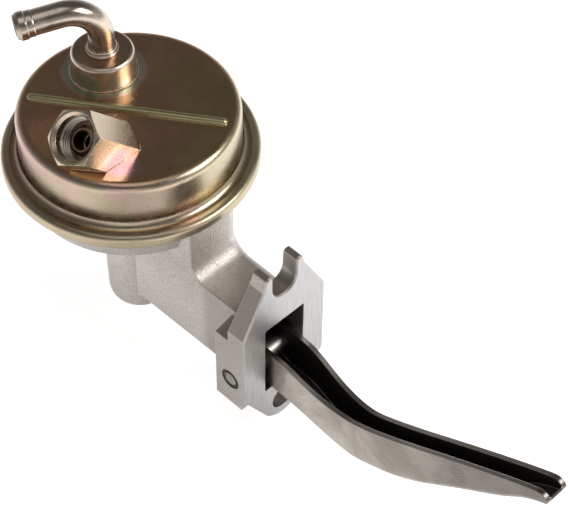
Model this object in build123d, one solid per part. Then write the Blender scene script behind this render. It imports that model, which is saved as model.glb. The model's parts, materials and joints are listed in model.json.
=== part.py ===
from build123d import *
import math
import os

# Mechanical fuel pump: a die-cast body with a mounting flange, a stamped and crimped cover,
# and a pressed steel rocker arm that works the diaphragm through a pull rod.
# Millimetres. The origin is the centre of the lower bolt hole on the mounting face,
# +X points into the engine along the arm, and +Z is the axis of the diaphragm.

# Mounting flange
BOLT_SPACING = 65.5
BOLT_HOLE_R = 5.8
SLOT_R = 5.8
LUG_R = 10.1
PLATE_T = 8.0
PLATE_HALF_W = 20.8
PLATE_LOW_Z = 11.6
PLATE_STEP_Y = 17.9
PLATE_STEP_Z = 9.9
PLATE_SHOULDER_Z = 48.9
HORN_FOOT = (10.6, 67.6)
HORN_TOP_Z = 73.3
HORN_TIP_Y = 8.7
PLATE_EDGE = 0.6
HORN_T = 6.8
SLOT_MOUTH_ROUND = 1.4

# Window for the arm and the hollow neck behind it
WINDOW_HALF_W = 9.8
WINDOW_LOW_Z = 11.0
WINDOW_TOP_Z = 46.2
NECK_WALL = 2.5
NECK_ROOF = 2.3
NECK_FLOOR_Z = 16.5
NECK_LOW_Z = 14.4
NECK_FOOT_Z = 12.5
NECK_FRONT_X = -35.9
NECK_FRONT_R = 7.0
NECK_FAR_R = 5.5
NECK_FLAT_END_X = -67.6
NECK_WAIST_Y = 8.0
THROAT_GAP = 0.4
BLOCK_DEPTH = 6.5
BLOCK_LOW_Z = 8.9
BLOCK_INSET = 1.2
BLOCK_TOP_Z = 43.8
BLOCK_CROWN = 2.1
BLOCK_WALL = 2.0

# Pump axis and the crimped joint
AXIS_X = -80.5
RING_TOP_Z = 77.5
RING_R = 48.0
RING_SHEET = 0.8
RING_TOP_R = 2.0
RING_CURL_R = 1.8
RING_LIP = 3.6
COVER_SHEET = 0.9
RIM_T = 0.9
DIAPHRAGM_T = 0.6
FLANGE_T = 1.6
RUN_GAP = 0.3

# Body bowl and tower
BOWL_INSET = 1.8
BOWL_TAPER = 4.5
BOWL_DEPTH = 13.6
BOWL_WALL = 2.5
BOWL_RIM = 1.8
TOWER_R = 13.6
TOWER_FOOT_R = 12.4
TOWER_LOW_Z = -5.1
TOWER_FOOT_ROUND = 6.5
TOWER_FLOOR_T = 2.8
TOWER_BORE_R = 10.0
GUIDE_WEB_T = 2.7
GUIDE_R = 5.6

# Cover
DOME_INSET = 4.9
DOME_H = 19.0
DOME_EDGE_R = 3.4
DOME_FOOT_R = 3.0
RIB_MARGIN = 4.2
RIB_WIDTH = 3.4
RIB_H = 1.7
RIB_OFFSET = -2.5
RIB_ANGLE = 35.4

# Inlet: drawn cup, collar and bent tube
CUP_INSET = 20.9
CUP_Y = 6.1
CUP_R = 12.3
CUP_TOP_R = 11.6
CUP_H = 10.2
CUP_EDGE_R = 1.6
CUP_SHEET = 0.9
BRAZE_W = 0.7
COLLAR_R = 6.1
COLLAR_H = 1.2
TUBE_R = 4.8
TUBE_BORE_R = 3.6
TUBE_RISE = 21.7
TUBE_REACH = 30.8
TUBE_BEND_R = 13.0
TUBE_ANGLE = 243.7
TUBE_DROOP = 5.4
BEAD_R = 5.35
BEAD_NOSE_L = 1.6
BEAD_L = 3.9
SWELL_R = 5.0
SWELL_L = 2.4

# Outlet: hexagon fitting brazed on at a slant, with a flare seat pressed in
HEX_AF = 19.4
HEX_L = 24.9
HEX_X = 9.9
HEX_INSET = 7.7
HEX_RISE = 14.2
HEX_TILT = 46.0
PORT_R = 7.94
PORT_DEPTH = 8.4
PORT_MOUTH_R = 9.0
THREAD_L = 5.0
THREAD_RELIEF_R = 8.25
SEAT_R = 5.6
SEAT_RIM_R = 4.2
SEAT_HOLE_R = 3.55
SEAT_L = 3.5
SEAT_RISE = 3.2
PASSAGE_R = 3.2
SPIGOT_R = 5.6

# Valve plate and valves
VALVE_PLATE_Z = 8.2
VALVE_PLATE_T = 3.0
VALVE_SKIRT_T = 1.6
VALVE_SKIRT_GAP = 1.0
DIVIDER_T = 3.0
DIVIDER_GASKET_H = 1.2
VALVE_OFFSET = 19.0
VALVE_SEAT_R = 9.0
VALVE_DISC_R = 7.6
VALVE_DISC_T = 1.2
VALVE_SPRING_H = 3.3
STEM_R = 1.3
STEM_HEAD_R = 3.4
STEM_HEAD_T = 0.9
VALVE_PORT_R = 1.5
VALVE_PORT_COUNT = 6
VALVE_PORT_PITCH_R = 4.9

# Diaphragm, rod and springs
PLATE_DISC_INSET = 16.2
PLATE_DISC_T = 1.2
PLATE_LIP_H = 1.6
CONVOLUTION_H = 5.6
DIAPHRAGM_HOLE_GAP = 0.05
DIAPHRAGM_WALL_GAP = 1.6
ROD_R = 3.0
ROD_RUN = 0.06
ROD_HEAD_R = 5.2
ROD_HEAD_T = 3.0
ROD_WASHER_R = 6.2
ROD_WASHER_T = 1.2
LOST_MOTION = 0.6
RIVET_R = 4.6
RIVET_H = 2.6
SEAL_H = 2.7
RETAINER_SHEET = 0.8
DIAPHRAGM_SPRING_R = 9.2
DIAPHRAGM_SPRING_WIRE_R = 1.0
DIAPHRAGM_SPRING_TURNS = 4.5
RETURN_SPRING_R = 9.5
RETURN_SPRING_WIRE_R = 0.9
RETURN_SPRING_TURNS = 5.5

# Rocker arm, its pivot and the fork on its inner end
PIVOT_X = -7.2
PIVOT_Z = 22.0
PIN_R = 3.0
PIN_RUN = 0.05
BUSH_R = 4.0
STAKE_R = 4.3
STAKE_DEPTH = 0.9
ARM_SHEET = 1.9
ARM_HALF_W = 7.5
ARM_TIP_HALF_W = 4.9
ARM_BEND_R = 2.6
FORK_UNDER_Z = 24.9
FORK_SLOT_HALF_W = 3.5
FORK_END_R = 8.4
ARM_HEEL_X = -62.0
ARM_TOP = ((-9.0, 30.2), (0.0, 30.8), (7.0, 30.5), (16.0, 27.8), (24.0, 25.4), (32.0, 24.5), (40.0, 25.2), (50.0, 29.0),
           (76.0, 43.0), (92.0, 52.0), (108.0, 60.6), (118.0, 65.6), (122.4, 66.4), (124.4, 64.4))
ARM_UNDER = ((-24.0, 20.2), (-13.0, 17.4), (-7.6, 13.6), (0.0, 11.4), (8.0, 11.1), (16.0, 9.5), (24.0, 7.1), (32.0, 5.0),
             (39.0, 4.3), (50.0, 7.5), (62.0, 13.4), (76.0, 23.3), (92.0, 36.5), (108.0, 49.4), (123.6, 61.4))
ARM_SHOULDER_X = 8.0
ARM_WAIST_X = 44.0

# Levels that follow from the sizes above
COVER_TOP_Z = RING_TOP_Z - RING_SHEET
COVER_FLANGE_Z = COVER_TOP_Z - COVER_SHEET
RIM_Z = COVER_FLANGE_Z - RIM_T
BODY_TOP_Z = RIM_Z - DIAPHRAGM_T
BODY_FLANGE_Z = BODY_TOP_Z - FLANGE_T
RING_LOW_Z = BODY_FLANGE_Z - RING_SHEET
CLAMP_R = RING_R - RING_TOP_R
BOWL_R = CLAMP_R - BOWL_INSET
BOWL_FOOT_R = BOWL_R - BOWL_TAPER
DOME_R = CLAMP_R - DOME_INSET
DOME_BORE_R = DOME_R - COVER_SHEET
RIB_LENGTH = 2 * (DOME_R - RIB_MARGIN)
SKIRT_R = DOME_BORE_R - VALVE_SKIRT_GAP
PLATE_DISC_R = BOWL_R - PLATE_DISC_INSET
DOME_TOP_Z = RING_TOP_Z + DOME_H
DOME_UNDER_Z = DOME_TOP_Z - COVER_SHEET
BOWL_UNDER_Z = BODY_FLANGE_Z - BOWL_DEPTH
BOWL_FLOOR_Z = BOWL_UNDER_Z + BOWL_WALL
GUIDE_WEB_TOP_Z = WINDOW_TOP_Z + GUIDE_WEB_T
TOWER_FLOOR_Z = TOWER_LOW_Z + TOWER_FLOOR_T
NECK_HALF_W = WINDOW_HALF_W + NECK_WALL
NECK_TOP_Z = WINDOW_TOP_Z + NECK_ROOF
BLOCK_BACK_X = -PLATE_T - BLOCK_DEPTH
VALVE_DECK_LOW_Z = RIM_Z + RIM_T + VALVE_PLATE_Z
VALVE_DECK_TOP_Z = VALVE_DECK_LOW_Z + VALVE_PLATE_T
FORK_TOP_Z = FORK_UNDER_Z + ARM_SHEET
WASHER_TOP_Z = FORK_UNDER_Z - LOST_MOTION
GUIDE_LOW_Z = FORK_TOP_Z + RUN_GAP
RETAINER_TOP_Z = GUIDE_WEB_TOP_Z + SEAL_H + RETAINER_SHEET


def section(points, radii=0.0):
    """A closed outline of radius and height, with each corner rounded to its own radius."""
    return make_face(Plane.XZ * FilletPolyline(*points, radius=radii, close=True))


def turned(points, radii=0.0, at=(AXIS_X, 0.0)):
    """A piece turned or drawn round an upright axis through the given place."""
    return Pos(at[0], at[1], 0) * revolve(section(points, radii), axis=Axis.Z)


def upright(radius, low, high, at=(AXIS_X, 0.0)):
    """A round bar between two heights on an upright axis."""
    align = (Align.CENTER, Align.CENTER, Align.MIN)
    return Pos(at[0], at[1], low) * Cylinder(radius, high - low, align=align)


def block(x, y, z):
    """A rectangular block from its lowest and highest coordinates."""
    size = [high - low for low, high in (x, y, z)]
    centre = [(high + low) / 2 for low, high in (x, y, z)]
    return Pos(*centre) * Box(*size)


def coil(radius, wire_r, low, high, turns, at=(AXIS_X, 0.0)):
    """A helical compression spring that stands between two heights."""
    rise = high - low - 2 * wire_r
    path = Helix(pitch=rise / turns, height=rise, radius=radius - wire_r)
    wire = Plane(origin=path @ 0, z_dir=path % 0) * Circle(wire_r)
    return Pos(at[0], at[1], low + wire_r) * sweep(wire, path=path, is_frenet=True)


def lug_tangent(y, z):
    """Where the line from a corner of the flange touches the round lug."""
    reach = math.hypot(y, z)
    turn = math.atan2(z, y) - math.acos(LUG_R / reach)
    return LUG_R * math.cos(turn), LUG_R * math.sin(turn)


def rib_line_point(along, across):
    """A place on the cover measured along and across the embossed rib."""
    angle = math.radians(RIB_ANGLE)
    x = AXIS_X + along * math.cos(angle) - across * math.sin(angle)
    y = along * math.sin(angle) + across * math.cos(angle)
    return x, y


def flange_plate():
    """The flange: two horns round the open bolt slot, a straight waist and a round lower lug."""
    touch_y, touch_z = lug_tangent(PLATE_STEP_Y, PLATE_STEP_Z)
    half = [(touch_y, touch_z), (PLATE_STEP_Y, PLATE_STEP_Z), (PLATE_HALF_W, PLATE_LOW_Z),
            (PLATE_HALF_W, PLATE_SHOULDER_Z), HORN_FOOT, (HORN_TIP_Y, HORN_TOP_Z)]
    mirrored = [(-y, z) for y, z in reversed(half)]
    corner = [0.0, 1.0, 1.0, 2.5, 3.0, 1.6]
    outline = make_face(FilletPolyline(*half, *mirrored, radius=corner + corner[::-1], close=True))
    outline += Circle(LUG_R)
    slot = Pos(0, BOLT_SPACING) * Circle(SLOT_R)
    slot += Pos(0, BOLT_SPACING + SLOT_R) * Rectangle(2 * SLOT_R, 2 * SLOT_R)
    outline -= slot
    mouth = outline.vertices().filter_by_position(Axis.Y, HORN_TOP_Z - 0.1, HORN_TOP_Z + 0.1)
    mouth = [v for v in mouth if abs(abs(v.X) - SLOT_R) < 0.1]
    outline = fillet(mouth, SLOT_MOUTH_ROUND)
    plate = extrude(Plane.YZ * outline, -PLATE_T)
    draft = section([(-PLATE_T, PLATE_SHOULDER_Z), (-HORN_T, HORN_TOP_Z), (-PLATE_T, HORN_TOP_Z)])
    plate -= extrude(draft, 2 * PLATE_HALF_W, both=True)
    front = plate.faces().sort_by(Axis.X)[-1]
    plate = chamfer(front.edges(), PLATE_EDGE)
    return plate - Pos(-PLATE_T / 2, 0, 0) * Rot(0, 90, 0) * Cylinder(BOLT_HOLE_R, 2 * PLATE_T)


def neck_solid():
    """The hollow neck's outer form, from the tower to the back of the flange."""
    tower_x = AXIS_X
    side = [(tower_x, NECK_FOOT_Z), (BLOCK_BACK_X, NECK_LOW_Z), (-PLATE_T, NECK_LOW_Z), (-PLATE_T, NECK_TOP_Z),
            (NECK_FRONT_X, NECK_TOP_Z), (NECK_FRONT_X, RING_LOW_Z - RUN_GAP),
            (tower_x, RING_LOW_Z - RUN_GAP)]
    face = section(side, [0, 0, 0, 0, NECK_FRONT_R, 0, 0])
    solid = extrude(face, NECK_HALF_W, both=True)
    far = solid.edges().filter_by_position(Axis.Y, NECK_HALF_W - 0.1, NECK_HALF_W + 0.1)
    far = [e for e in far if e.center().X > NECK_FRONT_X - 1 and e.center().Z > NECK_TOP_Z - 1]
    solid = fillet(far, NECK_FAR_R)
    near = solid.edges().filter_by_position(Axis.Y, -NECK_HALF_W - 0.1, -NECK_HALF_W + 0.1)
    near = [e for e in near if e.center().X > NECK_FRONT_X - 1 and e.center().Z > NECK_TOP_Z - 1]
    return fillet(near, 0.6)


def lower_body():
    """The casting: clamp flange and bowl, spring tower, neck, pivot block and mounting flange."""
    body = turned([(0, TOWER_LOW_Z), (TOWER_FOOT_R, TOWER_LOW_Z), (TOWER_R, BOWL_UNDER_Z),
                   (BOWL_FOOT_R, BOWL_UNDER_Z), (BOWL_R, BODY_FLANGE_Z), (CLAMP_R, BODY_FLANGE_Z),
                   (CLAMP_R, BODY_TOP_Z), (0, BODY_TOP_Z)],
                  [0, TOWER_FOOT_ROUND, 3.0, 2.2, 0, 0, 0, 0])
    neck = neck_solid()
    waist_x = NECK_FLAT_END_X - (NECK_HALF_W - NECK_WAIST_Y)
    corner = extrude(make_face(Polyline((AXIS_X - 1, -NECK_HALF_W - 1), (NECK_FLAT_END_X, -NECK_HALF_W - 1),
                                        (NECK_FLAT_END_X, -NECK_HALF_W), (waist_x, -NECK_WAIST_Y),
                                        (AXIS_X - 1, -NECK_WAIST_Y), close=True)), 2 * RING_TOP_Z)
    neck -= Pos(0, 0, TOWER_LOW_Z) * corner
    body += neck
    pivot = make_face(Polyline((-PLATE_HALF_W, BLOCK_LOW_Z), (-PLATE_HALF_W, BLOCK_TOP_Z),
                               (-NECK_HALF_W, BLOCK_TOP_Z + BLOCK_CROWN), (NECK_HALF_W, BLOCK_TOP_Z + BLOCK_CROWN),
                               (PLATE_HALF_W, BLOCK_TOP_Z), (PLATE_HALF_W, BLOCK_LOW_Z), close=True))
    body += Pos(BLOCK_BACK_X, 0, 0) * extrude(Plane.YZ * pivot, -BLOCK_BACK_X - BLOCK_INSET)
    body += flange_plate()

    bowl = turned([(0, BOWL_FLOOR_Z), (BOWL_FOOT_R - BOWL_WALL, BOWL_FLOOR_Z),
                   (BOWL_R - BOWL_RIM, BODY_TOP_Z + 1), (0, BODY_TOP_Z + 1)], [0, 3.0, 0, 0])
    body -= bowl
    window_y = (-WINDOW_HALF_W, WINDOW_HALF_W)
    pocket_x = BLOCK_BACK_X + BLOCK_WALL
    throat_y = ARM_HALF_W + THROAT_GAP
    body -= block((AXIS_X, NECK_FLAT_END_X), (-throat_y, throat_y), (NECK_FLOOR_Z, WINDOW_TOP_Z))
    body -= block((NECK_FLAT_END_X, pocket_x), window_y, (NECK_FLOOR_Z, WINDOW_TOP_Z))
    mouth = block((pocket_x, 1), window_y, (WINDOW_LOW_Z, WINDOW_TOP_Z))
    body -= fillet(mouth.edges().filter_by(Axis.X), 0.7)
    body -= upright(TOWER_BORE_R, GUIDE_WEB_TOP_Z, BOWL_FLOOR_Z + 1)
    body -= upright(TOWER_BORE_R, TOWER_FLOOR_Z, WINDOW_TOP_Z)
    body += upright(GUIDE_R, GUIDE_LOW_Z, WINDOW_TOP_Z + 1)
    body -= upright(ROD_R + ROD_RUN, GUIDE_LOW_Z - 1, GUIDE_WEB_TOP_Z + 1)

    across = Pos(PIVOT_X, 0, PIVOT_Z) * Rot(90, 0, 0)
    body -= across * Cylinder(PIN_R + 0.01, 3 * PLATE_HALF_W)
    stake = Cylinder(STAKE_R, 2 * STAKE_DEPTH) - Cylinder(PIN_R + 0.2, 2 * STAKE_DEPTH)
    for side in (-1, 1):
        body -= Pos(PIVOT_X, side * PLATE_HALF_W, PIVOT_Z) * Rot(90, 0, 0) * stake
    return body


def pivot_pin():
    """The hardened pin, pressed through the block and staked at both ends."""
    length = 2 * PLATE_HALF_W - 0.4
    pin = Cylinder(PIN_R, length)
    pin = chamfer(pin.edges().filter_by(GeomType.CIRCLE), 0.3)
    return Pos(PIVOT_X, 0, PIVOT_Z) * Rot(90, 0, 0) * pin


def arm_bush():
    """The bush through both arm walls; it turns on the pin."""
    length = 2 * (WINDOW_HALF_W - RUN_GAP)
    bush = Cylinder(BUSH_R, length) - Cylinder(PIN_R + PIN_RUN, length)
    return Pos(PIVOT_X, 0, PIVOT_Z) * Rot(90, 0, 0) * bush


def long_edges(face):
    """The two long edges of a strip's underside, without its ends."""
    return [e for e in face.edges() if abs((e % 0.5).Y) < 0.9]


def arm_plan(inset):
    """The arm seen from above between its walls, drawn in by a wall thickness."""
    heel = (ARM_HEEL_X, ARM_HALF_W - inset)
    shoulder = (ARM_SHOULDER_X, ARM_HALF_W - inset)
    waist = (ARM_WAIST_X, ARM_TIP_HALF_W - inset)
    tip = (ARM_TOP[-1][0] + ARM_SHEET, ARM_TIP_HALF_W - inset)
    slope = (ARM_TIP_HALF_W - ARM_HALF_W) / (ARM_WAIST_X - ARM_SHOULDER_X)
    edge = Spline(shoulder, waist, tangents=[(1, slope / 2), (1, slope / 3)])
    right = [Line(heel, shoulder), edge, Line(waist, tip)]
    left = [mirror(piece, about=Plane.XZ) for piece in right]
    back = Line((heel[0], -heel[1]), heel)
    front = Line(tip, (tip[0], -tip[1]))
    return extrude(make_face([*right, *left, back, front]), 2 * RING_TOP_Z)


def arm_profile(top, under):
    """The arm seen from the side, between two curves that run from the fork to the tip."""
    upper = Spline(*top, tangents=[(1, 0), (0.3, -1)])
    lower = Spline(*under, tangents=[(1, 0), (1, 0.5)])
    tip = Line(top[-1], under[-1])
    heel = Line(under[0], top[0])
    return extrude(Plane.XZ * make_face([upper, tip, lower, heel]), 2 * ARM_HALF_W, both=True)


def channel_form(top, under, inset, bend_r):
    """A solid bar of the arm's outline with its two lower edges rounded by the bend."""
    bar = arm_profile(top, under) & arm_plan(inset)
    underside = bar.faces().sort_by(Axis.Z)[0]
    return fillet(long_edges(underside), bend_r)


def rocker_arm():
    """The arm: one steel strip pressed to a channel that is open on top, with a fork inside."""
    top = [(ARM_HEEL_X, FORK_TOP_Z), *ARM_TOP]
    under = [(ARM_HEEL_X, FORK_UNDER_Z), *ARM_UNDER]
    arm = channel_form(top, under, 0.0, ARM_BEND_R)
    hollow_under = [(x, z + ARM_SHEET) for x, z in under]
    hollow_top = [(x, z + ARM_HALF_W) for x, z in top]
    arm -= channel_form(hollow_top, hollow_under, ARM_SHEET, ARM_BEND_R - ARM_SHEET)
    reach = ARM_HEEL_X - AXIS_X
    fork = Circle(FORK_END_R) + Pos(reach / 2, 0) * Rectangle(reach, 2 * ARM_HALF_W)
    slot = Circle(FORK_SLOT_HALF_W) + Pos(-FORK_END_R, 0) * Rectangle(2 * FORK_END_R, 2 * FORK_SLOT_HALF_W)
    arm += Pos(AXIS_X, 0, FORK_UNDER_Z) * extrude(fork - slot, ARM_SHEET)
    return arm - Pos(PIVOT_X, 0, PIVOT_Z) * Rot(90, 0, 0) * Cylinder(BUSH_R, 4 * ARM_HALF_W)


def crimp_ring():
    """The steel ring rolled round the cover flange, the diaphragm and the body flange."""
    lip_r = RING_R - RING_LIP
    inner_r = RING_R - RING_SHEET
    return turned([(lip_r, COVER_TOP_Z), (lip_r, RING_TOP_Z), (RING_R, RING_TOP_Z), (RING_R, RING_LOW_Z),
                   (lip_r, RING_LOW_Z), (lip_r, BODY_FLANGE_Z), (inner_r, BODY_FLANGE_Z), (inner_r, COVER_TOP_Z)],
                  [0.2, 0.4, RING_TOP_R, RING_CURL_R, 0.4, 0.2, RING_CURL_R - RING_SHEET, RING_TOP_R - RING_SHEET])


def rib_bar(half_width, low, high):
    """A bar with rounded ends along the line of the embossed rib."""
    bar = extrude(SlotOverall(RIB_LENGTH - 2 * (RIB_WIDTH / 2 - half_width), 2 * half_width), high - low)
    top = bar.faces().sort_by(Axis.Z)[-1]
    bar = fillet(top.edges(), half_width * 0.94)
    x, y = rib_line_point(0, RIB_OFFSET)
    return Pos(x, y, low) * Rot(0, 0, RIB_ANGLE) * bar


def outlet_plane():
    """The mouth of the outlet: its origin on the front face, its normal along the fitting."""
    tilt = math.radians(HEX_TILT)
    mouth = (AXIS_X + HEX_X, HEX_INSET - DOME_R, DOME_TOP_Z + HEX_RISE)
    return Plane(origin=mouth, x_dir=(1, 0, 0), z_dir=(0, -math.cos(tilt), math.sin(tilt)))


def outlet_foot():
    """Where the middle of the fitting's fuel passage crosses the top of the cover."""
    return AXIS_X + HEX_X, HEX_INSET - DOME_R + HEX_RISE / math.tan(math.radians(HEX_TILT))


def cup_centre():
    """The upright axis of the inlet cup."""
    return AXIS_X + CUP_INSET - DOME_R, CUP_Y


def top_cover():
    """The drawn cover with its embossed rib and the holes for both connections."""
    cover = turned([(0, DOME_UNDER_Z), (0, DOME_TOP_Z), (DOME_R, DOME_TOP_Z), (DOME_R, COVER_TOP_Z),
                    (CLAMP_R, COVER_TOP_Z), (CLAMP_R, COVER_FLANGE_Z), (DOME_BORE_R, COVER_FLANGE_Z),
                    (DOME_BORE_R, DOME_UNDER_Z)],
                   [0, 0, DOME_EDGE_R, DOME_FOOT_R, 0, 0, DOME_FOOT_R + COVER_SHEET, DOME_EDGE_R - COVER_SHEET])
    cover += rib_bar(RIB_WIDTH / 2, DOME_TOP_Z - COVER_SHEET / 2, DOME_TOP_Z + RIB_H)
    cover -= rib_bar(RIB_WIDTH / 2 - COVER_SHEET, DOME_UNDER_Z - 1, DOME_TOP_Z + RIB_H - COVER_SHEET)
    cover -= upright(CUP_TOP_R - CUP_SHEET, DOME_UNDER_Z - 1, DOME_TOP_Z + 1, cup_centre())
    return cover - upright(SPIGOT_R, DOME_UNDER_Z - 1, DOME_TOP_Z + 1, outlet_foot())


def inlet_cup():
    """The drawn cup that stands over the inlet hole, with a hole for the tube in its top."""
    top = DOME_TOP_Z + CUP_H
    cup = turned([(0, top), (CUP_TOP_R, top), (CUP_R, DOME_TOP_Z), (CUP_R - CUP_SHEET, DOME_TOP_Z),
                  (CUP_TOP_R - CUP_SHEET, top - CUP_SHEET), (0, top - CUP_SHEET)],
                 [0, CUP_EDGE_R, 0, 0, CUP_EDGE_R - CUP_SHEET, 0], cup_centre())
    return cup - upright(TUBE_R, top - 2, top + 1, cup_centre())


def inlet_cup_braze():
    """The bright fillet of braze round the foot of the cup."""
    outer = CUP_R + BRAZE_W
    return turned([(CUP_R, DOME_TOP_Z), (outer, DOME_TOP_Z), (outer - 0.2, DOME_TOP_Z + BRAZE_W),
                   (CUP_R, DOME_TOP_Z + BRAZE_W)], [0, 0.1, 0.3, 0], cup_centre())


def elbow_collar():
    """The stepped collar that locates the tube on top of the cup."""
    low = DOME_TOP_Z + CUP_H
    step_r = COLLAR_R - 0.6
    return turned([(TUBE_R, low), (COLLAR_R, low), (COLLAR_R, low + COLLAR_H), (step_r, low + COLLAR_H),
                   (step_r, low + 2 * COLLAR_H), (TUBE_R, low + 2 * COLLAR_H)],
                  [0, 0.3, 0.5, 0, 0.5, 0], cup_centre())


def tube_corner():
    """Where the upright leg of the tube and its straight leg would meet without the bend."""
    x, y = cup_centre()
    return Vector(x, y, DOME_TOP_Z + CUP_H + TUBE_RISE)


def tube_end():
    """The plane of the tube's open end, its normal along the straight leg, which droops a little."""
    angle = math.radians(TUBE_ANGLE)
    droop = math.radians(TUBE_DROOP)
    across = Vector(-math.sin(angle), math.cos(angle), 0)
    out = Vector(math.cos(droop) * math.cos(angle), math.cos(droop) * math.sin(angle), -math.sin(droop))
    return Plane(origin=tube_corner() + TUBE_REACH * out, x_dir=across, z_dir=out)


def inlet_elbow():
    """The bent tube, with a bead near its open end for the hose."""
    x, y = cup_centre()
    end = tube_end()
    low = DOME_TOP_Z + CUP_H - CUP_SHEET
    swell_end = -BEAD_L - SWELL_L
    taper = BEAD_R - SWELL_R
    bead_foot = end.origin + (swell_end - taper) * end.z_dir
    path = FilletPolyline((x, y, low), tube_corner(), bead_foot, radius=TUBE_BEND_R)
    foot = Plane(origin=(x, y, low), z_dir=(0, 0, 1))
    tube = sweep(foot * Circle(TUBE_R), path=path) - sweep(foot * Circle(TUBE_BORE_R), path=path)
    bead = revolve(section([(TUBE_BORE_R, 0), (TUBE_R - taper, 0), (BEAD_R, -BEAD_NOSE_L), (BEAD_R, -BEAD_L),
                            (SWELL_R, -BEAD_L - taper), (SWELL_R, swell_end),
                            (TUBE_R, swell_end - taper), (TUBE_BORE_R, swell_end - taper)],
                           [0, 0.2, 0.2, 0, 0, 0.3, 0, 0]), axis=Axis.Z)
    return tube + end.location * bead


def outlet_fitting():
    """The hexagon bar, chamfered at both ends, tapped, drilled and milled to sit on the cover."""
    corner_r = HEX_AF / math.sqrt(3)
    plane = outlet_plane().location
    bar = extrude(RegularPolygon(HEX_AF / 2, 6, major_radius=False, rotation=30), -HEX_L)
    trim = Pos(0, 0, -HEX_L / 2) * Cylinder(corner_r, HEX_L)
    trim = chamfer(trim.edges().filter_by(GeomType.CIRCLE), 0.7, 1.4)
    bar = plane * (bar & trim)
    foot = outlet_foot()
    below = upright(3 * HEX_AF, DOME_TOP_Z - 3 * HEX_AF, DOME_TOP_Z, foot)
    bar = bar - below + upright(SPIGOT_R, DOME_UNDER_Z - 0.6, DOME_TOP_Z + 1, foot)
    mouth_h = PORT_MOUTH_R - PORT_R
    bore = section([(0, 1), (PORT_MOUTH_R, 1), (PORT_MOUTH_R, 0), (PORT_R, -mouth_h), (PORT_R, -THREAD_L),
                    (THREAD_RELIEF_R, -THREAD_L), (THREAD_RELIEF_R, -PORT_DEPTH),
                    (SEAT_R, -PORT_DEPTH), (SEAT_R, -PORT_DEPTH - SEAT_L),
                    (PASSAGE_R, -PORT_DEPTH - SEAT_L), (PASSAGE_R, -2 * HEX_L), (0, -2 * HEX_L)])
    return bar - plane * revolve(bore, axis=Axis.Z)


def flare_seat():
    """The coned seat pressed in at the bottom of the outlet thread."""
    low = -PORT_DEPTH - SEAT_L
    rim = -PORT_DEPTH + SEAT_RISE
    cone_foot = rim - (SEAT_R - SEAT_RIM_R)
    seat = revolve(section([(SEAT_HOLE_R, low), (SEAT_R, low), (SEAT_R, cone_foot), (SEAT_RIM_R, rim),
                            (SEAT_HOLE_R, rim)], [0, 0, 0, 0.3, 0.2]), axis=Axis.Z)
    return outlet_plane().location * seat


def divider_bar(low, high):
    """An upright bar under the rib, as long as the flat underside of the cover lets it be."""
    align = (Align.CENTER, Align.CENTER, Align.MIN)
    bar = Box(2 * (SKIRT_R - DOME_EDGE_R), DIVIDER_T, high - low, align=align)
    x, y = rib_line_point(0, RIB_OFFSET)
    return Pos(x, y, low) * Rot(0, 0, RIB_ANGLE) * bar


def valve_plate():
    """The die-cast plate under the cover: skirt, deck and the wall between inlet and outlet."""
    bore_r = SKIRT_R - VALVE_SKIRT_T
    plate = turned([(bore_r, RIM_Z), (CLAMP_R, RIM_Z), (CLAMP_R, COVER_FLANGE_Z),
                    (SKIRT_R, COVER_FLANGE_Z), (SKIRT_R, VALVE_DECK_TOP_Z), (0, VALVE_DECK_TOP_Z),
                    (0, VALVE_DECK_LOW_Z), (bore_r, VALVE_DECK_LOW_Z)],
                   [0, 0, 0, 0, 1.0, 0, 0, 1.5])
    plate += divider_bar(VALVE_DECK_TOP_Z, DOME_UNDER_Z - DIVIDER_GASKET_H)
    for side in (-1, 1):
        plate -= upright(VALVE_SEAT_R, VALVE_DECK_LOW_Z - 1, VALVE_DECK_TOP_Z + 1, valve_centre(side))
    return plate


def divider_gasket():
    """The rubber strip that seals the dividing wall against the cover under the rib."""
    return divider_bar(DOME_UNDER_Z - DIVIDER_GASKET_H, DOME_UNDER_Z)


def valve_centre(side):
    """The axis of a check valve, on the inlet side (+1) or the outlet side (-1) of the wall."""
    return rib_line_point(0, side * VALVE_OFFSET)


def flipped(piece, side):
    """A valve piece as drawn for the outlet, or turned over about the deck for the inlet."""
    if side > 0:
        middle = (VALVE_DECK_LOW_Z + VALVE_DECK_TOP_Z) / 2
        piece = Pos(0, 0, middle) * Rot(180, 0, 0) * Pos(0, 0, -middle) * piece
    x, y = valve_centre(side)
    return Pos(x, y, 0) * piece


def valve_seat(side):
    """A round seat pressed into the deck, with a ring of ports round the stem hole."""
    seat = upright(VALVE_SEAT_R, VALVE_DECK_LOW_Z, VALVE_DECK_TOP_Z, (0, 0))
    seat -= upright(STEM_R, VALVE_DECK_LOW_Z, VALVE_DECK_TOP_Z, (0, 0))
    port = upright(VALVE_PORT_R, VALVE_DECK_LOW_Z, VALVE_DECK_TOP_Z, (VALVE_PORT_PITCH_R, 0))
    for i in range(VALVE_PORT_COUNT):
        seat -= Rot(0, 0, 360 * i / VALVE_PORT_COUNT) * port
    return flipped(seat, side)


def valve_disc(side):
    """The soft disc that covers the ports and lifts along the stem."""
    disc = upright(VALVE_DISC_R, VALVE_DECK_TOP_Z, VALVE_DECK_TOP_Z + VALVE_DISC_T, (0, 0))
    disc -= upright(STEM_R + 0.06, VALVE_DECK_TOP_Z, VALVE_DECK_TOP_Z + VALVE_DISC_T, (0, 0))
    return flipped(disc, side)


def valve_stem(side):
    """The headed stem that guides the disc and holds its spring."""
    head_z = VALVE_DECK_TOP_Z + VALVE_DISC_T + VALVE_SPRING_H
    stem = upright(STEM_R, VALVE_DECK_LOW_Z, head_z, (0, 0))
    stem += upright(STEM_HEAD_R, head_z, head_z + STEM_HEAD_T, (0, 0))
    return flipped(stem, side)


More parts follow.
